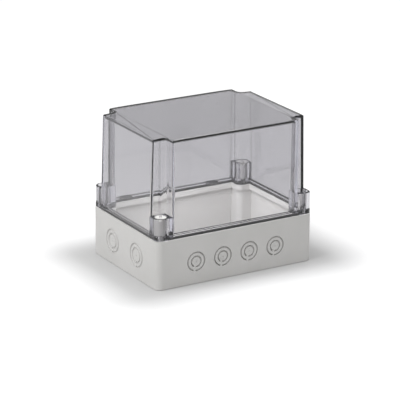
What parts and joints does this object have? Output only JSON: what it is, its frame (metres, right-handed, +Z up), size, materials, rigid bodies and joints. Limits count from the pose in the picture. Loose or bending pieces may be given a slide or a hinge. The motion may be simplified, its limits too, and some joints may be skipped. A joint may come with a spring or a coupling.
{
  "type": "hinged polycarbonate enclosure",
  "caption": "Wall-mount electrical enclosure: light grey base with knockout entries and a tall clear hinged cover on a gasket, held by quarter-turn screws.",
  "frame": {"origin": "middle of the base's underside, on the surface it stands on or is screwed to", "axes": "+X along the long side to the right seen from the front, -Y towards the front, +Z up from the base to the cover"},
  "size_m": [0.18, 0.1376, 0.15],
  "materials": {
    "grey_polycarbonate": "satin",
    "clear_polycarbonate": "gloss",
    "white_polyamide": "satin",
    "black_rubber": "matte",
    "stainless_steel": "satin"
  },
  "bodies": {
    "base": {"base": "grey_polycarbonate", "screw_socket_front_left": "white_polyamide", "screw_socket_rear_right": "white_polyamide", "hinge_pin_left": "stainless_steel", "hinge_pin_right": "stainless_steel"},
    "cover": {"cover": "clear_polycarbonate", "gasket": "black_rubber"},
    "screw_front_left": {"cover_screw_front_left": "white_polyamide", "cross_pin_front_left": "stainless_steel"},
    "screw_rear_right": {"cover_screw_rear_right": "white_polyamide", "cross_pin_rear_right": "stainless_steel"}
  },
  "joints": [
    {"name": "cover_hinge", "type": "hinge", "parent": "base", "child": "cover", "pos_m": [0, 0.0696, 0.0448], "axis": [-1, 0, 0], "range_deg": [0, 110]},
    {"name": "screw_front_left_turn", "type": "hinge", "parent": "cover", "child": "screw_front_left", "pos_m": [-0.0815, -0.0565, 0.05], "axis": [0, 0, -1], "range_deg": [0, 90]},
    {"name": "screw_rear_right_turn", "type": "hinge", "parent": "cover", "child": "screw_rear_right", "pos_m": [0.0815, 0.0565, 0.05], "axis": [0, 0, -1], "range_deg": [0, 90]}
  ]
}
